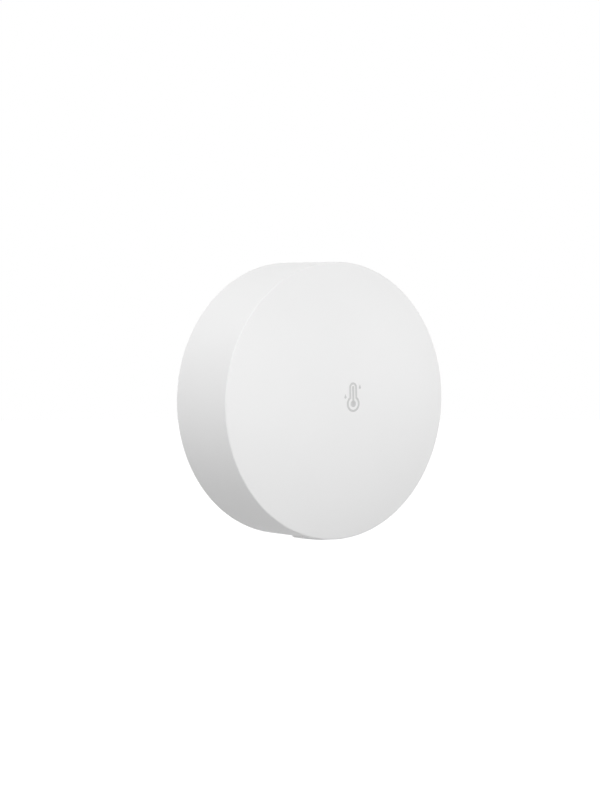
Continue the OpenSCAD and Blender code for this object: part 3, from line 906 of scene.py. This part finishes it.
# the sensor's four tracks over the neck of its tongue: pads and ends in plain millimetres, angles in
# degrees, and a pair is the first value with its step
neck = {
    "count": 4,
    "r": 19.05 * mm,
    "step": 0.3 * mm,
    "pad": -0.8,
    "padStep": 0.55,
    "fromAngle": (-37, 1),
    "toAngle": (-12, 2.5),
    "points": 12,
    "end": 13,
    "endUp": (-2.5, 1.2),
}
# the fans of tracks at the test pads, on both faces, and at the resistors and capacitors
fan = {
    "behind": -12.6 * mm,
    "behindShare": 0.45,
    "start": 1 * mm,
    "ahead": -7.5 * mm,
    "aheadShare": 0.3,
    "aheadUp": 1.5 * mm,
    "resistors": ("radio_chip", 2.2, -1.2),
    "capacitors": ("radio_chip", 1.4, 2.4),
}


# place on the board, in millimetres from a piece's middle or else from the axis
def midOf(node, right=0.0, up=0.0):
    low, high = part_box(node) if node else (Vector(), Vector())
    return ((low.x + high.x) / 2 + right * mm, (low.z + high.z) / 2 + up * mm)


# a track between two places: straight along its longer way, then at 45 degrees
def bentTrack(start, end):
    run = (end[0] - start[0], end[1] - start[1])
    short = min(abs(run[0]), abs(run[1]))
    corner = (end[0] - math.copysign(short, run[0]), end[1] - math.copysign(short, run[1]))
    return [start, corner, end]


def arcTrack(radius, fromAngle, toAngle, steps):
    angles = [math.radians(fromAngle + (toAngle - fromAngle) * i / steps) for i in range(steps + 1)]
    return [(radius * math.cos(a), radius * math.sin(a)) for a in angles]


# lines of one width on a face of the board, as low mounds
def lineMesh(bm, paths, plane, radius, height, closed=False):
    curve = bpy.data.curves.new("lines", "CURVE")
    curve.dimensions = "3D"
    curve.bevel_depth = radius
    curve.bevel_resolution = 1
    for path in paths:
        spline = curve.splines.new("POLY")
        spline.points.add(len(path) - 1)
        for point, (x, z) in zip(spline.points, path):
            point.co = (x, 0, z, 1)
        spline.use_cyclic_u = closed
    obj = bpy.data.objects.new("lines", curve)
    scene.collection.objects.link(obj)
    mesh = bpy.data.meshes.new_from_object(obj.evaluated_get(bpy.context.evaluated_depsgraph_get()))
    bpy.data.objects.remove(obj)
    before = len(bm.verts)
    bm.from_mesh(mesh)
    bm.verts.ensure_lookup_table()
    for vert in bm.verts[before:]:
        vert.co.y = plane + vert.co.y * height / radius
    bmesh.ops.holes_fill(bm, edges=[edge for edge in bm.edges if edge.is_boundary])


def dress(name, bm, material):
    bmesh.ops.recalc_face_normals(bm, faces=bm.faces)
    obj = meshObject(name, bm)
    obj.data.shade_smooth()
    obj.data.set_sharp_from_angle(angle=math.radians(board["sharpAngle"]))
    obj.data.materials.append(material)
    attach(obj, bodyOf["circuit_board"])


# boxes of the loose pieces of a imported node
def islands(node):
    bm = mergedCopy(node)
    seen = set()
    for vert in bm.verts:
        if vert in seen:
            continue
        group, todo = [], [vert]
        while todo:
            here = todo.pop()
            if here not in seen:
                seen.add(here)
                group.append(here.co)
                todo += [edge.other_vert(here) for edge in here.link_edges]
        yield [Vector([pick(co[i] for co in group) for i in range(3)]) for pick in (min, max)]
    bm.free()


def neckTrack(i):
    pad = neck["pad"] + i * neck["padStep"]
    pairs = neck["fromAngle"], neck["toAngle"], neck["endUp"]
    first, last, up = [start + i * step for start, step in pairs]
    arc = arcTrack(neck["r"] + i * neck["step"], first, last, neck["points"])
    return [midOf("humidity_sensor", pad, pad), *arc, midOf("", neck["end"], up)]


# a via is a low dome of mask on either face
def addVia(bm, angle, plane):
    side = math.copysign(board["trackH"] * 2, plane - (board["front"] + board["back"]) / 2)
    wide, count = board["viaR"], board["viaPoints"]
    peg = bmesh.ops.create_cone(bm, cap_ends=True, segments=count, radius1=wide,
                                radius2=wide * board["viaTipShare"], depth=abs(side))["verts"]
    rotate(bm, peg, -math.copysign(math.pi / 2, side), "X")
    bmesh.ops.translate(bm, verts=peg, vec=(board["viaPlace"], plane, 0))
    spinTo(bm, peg, angle)


def makeTracks():
    bm = bmesh.new()
    pads = [(low + high) / 2 for low, high in islands("test_pads")]
    behind = [bentTrack((p.x, p.z), (fan["behind"], p.z * fan["behindShare"])) for p in pads]
    behind += [neckTrack(i) for i in range(neck["count"])]
    behind += [bentTrack(midOf(*row[:3]), midOf(*row[3:])) for row in tracksBehind]
    lineMesh(bm, behind, board["back"], board["trackR"], board["trackH"])

    ahead = [bentTrack(midOf(*row[:3]), midOf(*row[3:])) for row in tracksAhead]
    for low, high in islands("chip_resistors"):
        ahead.append(bentTrack((high.x, (low.z + high.z) / 2), midOf(*fan["resistors"])))
    for low, high in islands("chip_capacitors"):
        ahead.append(bentTrack((low.x, (low.z + high.z) / 2), midOf(*fan["capacitors"])))
    for p in pads:
        end = (fan["ahead"], p.z * fan["aheadShare"] + fan["aheadUp"])
        ahead.append(bentTrack((p.x + fan["start"], p.z), end))
    lineMesh(bm, ahead, board["front"], board["trackR"], board["trackH"])

    for angle in range(-180, 180, board["viaStep"]):
        if not any(low < angle < high for low, high in board["viaFree"]):
            addVia(bm, angle, board["front"])
            addVia(bm, angle, board["back"])
    dress("boardTracks", bm, maskedCopper)


# printed legend: frames round the larger parts, a ring round the cell's holder and marks at first pins
legend = {
    "r": 0.08 * mm,
    "h": 0.015 * mm,
    "margin": 0.35 * mm,
    "ringR": 14.15 * mm,
    "ringPoints": 48,
    "dotR": 0.22 * mm,
    "dotPoints": 16,
    "dots": (("radio_chip", -3.9, 3.6), ("memory_chip", -2.9, 3.0)),
    "framed": ("radio_chip", "crystal_base", "inductor", "status_led", "memory_leads"),
}
# the big capacitor stands turned on the board: its middle's distance from the axis, and half its size
tank = {
    "turn": 75,
    "away": math.hypot(*midOf("buffer_capacitor")),
    "across": 1.4 * mm,
    "along": 1.75 * mm,
    "tabHalf": 1.1 * mm,
    "tabT": 0.1 * mm,
    "tabShare": 0.55,
    "bandInset": 0.35 * mm,
    "bandW": 0.45 * mm,
    "bandShare": 0.9,
}


def printLines(bm, path, plane):
    lineMesh(bm, [path], plane, legend["r"], legend["h"], True)


def frameRound(low, high):
    left, right = low.x - legend["margin"], high.x + legend["margin"]
    under, over = low.z - legend["margin"], high.z + legend["margin"]
    return [(left, under), (right, under), (right, over), (left, over)]


def makeLegend():
    bm = bmesh.new()
    for node in legend["framed"]:
        printLines(bm, frameRound(*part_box(node)), board["front"])
    points = legend["ringPoints"]
    printLines(bm, arcTrack(legend["ringR"], 0, 360 - 360 / points, points - 1), board["back"])
    printLines(bm, frameRound(*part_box("test_pads")), board["back"])
    before = len(bm.verts)
    low = Vector((tank["away"] - tank["across"], 0, -tank["along"]))
    high = Vector((tank["away"] + tank["across"], 0, tank["along"]))
    printLines(bm, frameRound(low, high), board["back"])
    bm.verts.ensure_lookup_table()
    spinTo(bm, bm.verts[before:], tank["turn"])
    top = boardFront + legend["h"]
    for dot in legend["dots"]:
        addPeg(bm, legend["dotR"], boardFront, top, *midOf(*dot), legend["dotPoints"])
    dress("boardLegend", bm, boardLegend)


# solder: the tinned ends of small parts, the radio chip's pins, and cones where pins come through
solder = {
    "endLen": 0.22 * mm,
    "endProud": 0.03 * mm,
    "fillet": 0.16 * mm,
    "smallest": 0.5 * mm,  # what is shorter has no ends
    "pinHalf": 0.12 * mm,
    "pinT": 0.2 * mm,
    "round": 0.03 * mm,
    "jointR": 0.95 * mm,
    "jointTipShare": 0.4,
    "jointH": 0.5 * mm,
    "jointPoints": 32,
    "pinSpan": 1.5,  # corners nearer than this, in plain millimetres, are of one pin
    "pinned": ("positive_contact", "negative_contact", "switch_leads", "switch_bracket"),
}


# tinned ends of a chip part, which widen where they wet their pads
def addEnds(bm, low, high):
    proud, middle = solder["endProud"], (low.x + high.x) / 2
    for end in (low.x - proud, high.x + proud - solder["endLen"]):
        far = (end + solder["endLen"], high.y, high.z + proud)
        for vert in addBar(bm, (end, low.y - proud, low.z - proud), far):
            aside = vert.co.x - middle
            if vert.co.y > high.y - near and abs(aside) > (high.x - low.x) / 2:
                vert.co.x += math.copysign(solder["fillet"], aside)


# the radio chip's pins, ten on each side
def addPins(bm):
    low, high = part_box("radio_chip")
    x, z = midOf("radio_chip")
    front, half, reach = board["front"], solder["pinHalf"], solder["fillet"]
    for i in range(board["padsASide"]):
        along = (i - (board["padsASide"] - 1) / 2) * board["padPitch"] * mm
        for side in (low.x, high.x):
            foot = (side - reach, front - solder["pinT"], z + along - half)
            addBar(bm, foot, (side + reach, front, z + along + half))
        for side in (low.z, high.z):
            foot = (x + along - half, front - solder["pinT"], side - reach)
            addBar(bm, foot, (x + along + half, front, side + reach))


# the big capacitor's tabs
def addTabs(bm):
    low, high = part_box("buffer_capacitor")
    top = low.y + (high.y - low.y) * tank["tabShare"]
    for end in (-tank["along"], tank["along"]):
        tab = addBar(bm, (tank["away"] - tank["tabHalf"], low.y, end - tank["tabT"]),
                     (tank["away"] + tank["tabHalf"], top, end + tank["tabT"]))
        spinTo(bm, tab, tank["turn"])


# places where a node's pins come through the board
def pinEnds(node):
    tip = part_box(node)[0].y
    places = {(round(v.co.x / mm, 1), round(v.co.z / mm, 1)) for v in nodes[node].data.vertices
              if v.co.y < tip + near}
    groups = []
    for x, z in sorted(places):
        for group in groups:
            if max(abs(group[0][0] - x), abs(group[0][1] - z)) < solder["pinSpan"]:
                group.append((x, z))
                break
        else:
            groups.append([(x, z)])
    return [(sum(p[0] for p in g) / len(g) * mm, sum(p[1] for p in g) / len(g) * mm) for g in groups]


def makeJoints():
    bm = bmesh.new()
    for node in ("chip_resistors", "chip_capacitors", "status_led"):
        for low, high in islands(node):
            if high.x - low.x >= solder["smallest"]:
                addEnds(bm, low, high)
    addPins(bm)
    addTabs(bm)
    bevel(bm, bm.edges[:], solder["round"], 2)
    for x, z in [place for node in solder["pinned"] for place in pinEnds(node)]:
        wide, high, count = solder["jointR"], solder["jointH"], solder["jointPoints"]
        peg = bmesh.ops.create_cone(bm, cap_ends=True, segments=count, radius1=wide,
                                    radius2=wide * solder["jointTipShare"], depth=high)["verts"]
        rotate(bm, peg, math.pi / 2, "X")
        bmesh.ops.translate(bm, verts=peg, vec=(x, board["front"] - high / 2, z))
    dress("solderJoints", bm, frozenSolder)


# dark stripe that marks one end of the big capacitor
def makeStripe():
    bm = bmesh.new()
    top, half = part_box("buffer_capacitor")[1].y, tank["across"] * tank["bandShare"]
    edge = tank["along"] - tank["bandInset"]
    stripe = addBar(bm, (tank["away"] - half, top - legend["h"], edge - tank["bandW"]),
                    (tank["away"] + half, top + legend["h"], edge))
    spinTo(bm, stripe, tank["turn"])
    dress("capacitorStripe", bm, finishes["chip_black"])


# white membrane that lets air, but no dust, through the sensor's eye
membrane = {"r": 0.55 * mm, "sink": 0.12 * mm, "thick": 0.1 * mm, "points": 32}


def makeMembrane():
    bm = bmesh.new()
    outer = membrane["sink"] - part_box("humidity_sensor")[1].y
    inner = outer + membrane["thick"]
    addPeg(bm, membrane["r"], outer, inner, *midOf("humidity_sensor"), membrane["points"])
    dress("sensorMembrane", bm, finishes["cover_white"])


makeTracks()
makeLegend()
makeJoints()
makeStripe()
makeMembrane()
print("board is printed and soldered")

# the studio: a pale floor well below, a white surround that only shows, and soft lamps
studio = {
    "floorZ": -320 * mm,
    "floorSize": 12,
    "floor": "#A6A6A6",
    "floorGlow": 0.88,
    "fill": 0.54,
    "lamps": (
        # name, bearing and height as one faces the case in degrees, distance in mm, power in W
        ("front", -15, 5, 200, 0.185),
        ("right", 60, 10, 140, 0.0335),
        ("lowLeft", -90, -20, 500, 0.38),
        ("highLeft", -121, 53, 700, 1.72),
        ("behind", 176, 8, 500, 0.6),
    ),
    "lampShare": 0.6,
    "aim": (0, -9 * mm, 0),
}


# light that only shows to the camera and in reflections and refractions
def shownOnly(tree):
    path = addNode(tree, "LightPath")
    seen = addNode(tree, "Math", {"operation": "MAXIMUM"}, _0=path.outputs["Is Camera Ray"],
                   _1=path.outputs["Is Glossy Ray"])
    return addNode(tree, "Math", {"operation": "MAXIMUM"}, _0=seen.outputs[0],
                   _1=path.outputs["Is Transmission Ray"]).outputs[0]


def makeStudio():
    world = bpy.data.worlds.new("studio")
    world.use_nodes = True
    scene.world = world
    tree = world.node_tree
    light = tree.nodes["Background"]
    light.inputs["Strength"].default_value = studio["fill"]
    light.inputs["Color"].default_value = (1, 1, 1, 1)
    white = addNode(tree, "Background", {"Color": (1, 1, 1, 1), "Strength": 1})
    mix = addNode(tree, "MixShader", _0=shownOnly(tree), _1=light.outputs[0], _2=white.outputs[0])
    tree.links.new(mix.outputs[0], tree.nodes["World Output"].inputs["Surface"])

    bm = bmesh.new()
    bmesh.ops.create_circle(bm, cap_ends=True, segments=64, radius=studio["floorSize"] / 2)
    bmesh.ops.translate(bm, verts=bm.verts, vec=(0, 0, studio["floorZ"]))
    floor = meshObject("floor", bm)
    material, tree, shader = newMaterial("paleFloor", studio["floor"], 0.9)
    glowing = addNode(tree, "Math", {"operation": "MULTIPLY", 1: studio["floorGlow"]}, _0=shownOnly(tree))
    glow = addNode(tree, "Emission", {"Color": (1, 1, 1, 1)}, Strength=glowing.outputs[0])
    both = addNode(tree, "AddShader", _0=shader.outputs[0], _1=glow.outputs[0])
    tree.links.new(both.outputs[0], tree.nodes["Material Output"].inputs["Surface"])
    floor.data.materials.append(material)

    for name, bearing, height, distance, power in studio["lamps"]:
        lamp = bpy.data.lights.new(name, "AREA")
        lamp.shape = "SQUARE"
        lamp.size = distance * mm * studio["lampShare"]
        lamp.energy = power
        side, up = math.radians(bearing), math.radians(height)
        away = Vector((math.sin(side) * math.cos(up), -math.cos(side) * math.cos(up), math.sin(up)))
        obj = bpy.data.objects.new(name, lamp)
        obj.location = Vector(studio["aim"]) + away * distance * mm
        obj.rotation_mode = "QUATERNION"
        obj.rotation_quaternion = (-away).to_track_quat("-Z", "Y")
        obj.visible_camera = False
        scene.collection.objects.link(obj)


makeStudio()
print("studio is lit")
